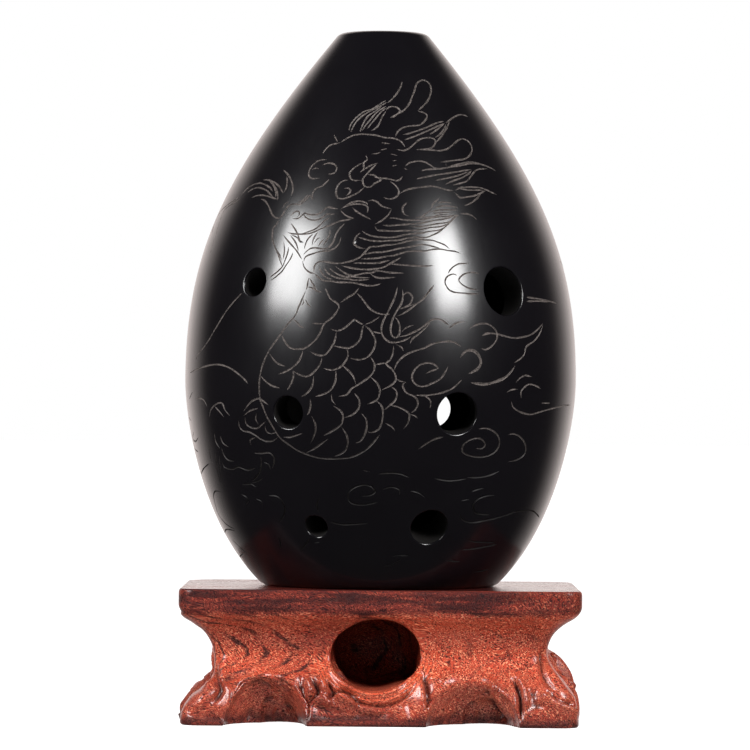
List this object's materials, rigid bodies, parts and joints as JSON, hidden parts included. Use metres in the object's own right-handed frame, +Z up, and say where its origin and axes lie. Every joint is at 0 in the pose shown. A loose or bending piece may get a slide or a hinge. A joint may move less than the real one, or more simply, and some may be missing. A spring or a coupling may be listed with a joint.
{
  "type": "xun",
  "caption": "Egg-shaped pottery vessel flute with finger and thumb holes, resting on a carved wooden display stand.",
  "frame": {"origin": "on the surface the stand rests on, under the vessel's axis and the middle of the stand", "axes": "+Z up along the vessel's axis, -Y towards the viewer on the side of the finger holes, +X to the viewer's right"},
  "size_m": [0.0744, 0.0742, 0.1303],
  "materials": {
    "black_pottery": "polished, smoke-blackened, unglazed",
    "rosewood": "carved, oiled satin"
  },
  "bodies": {
    "stand": {"display_stand": "rosewood"},
    "xun": {"xun_body": "black_pottery"}
  },
  "joints": [
    {"name": "xun_lift", "type": "slide", "parent": "stand", "child": "xun", "axis": [0, 0, 1], "range_m": [0, 0.06]}
  ]
}
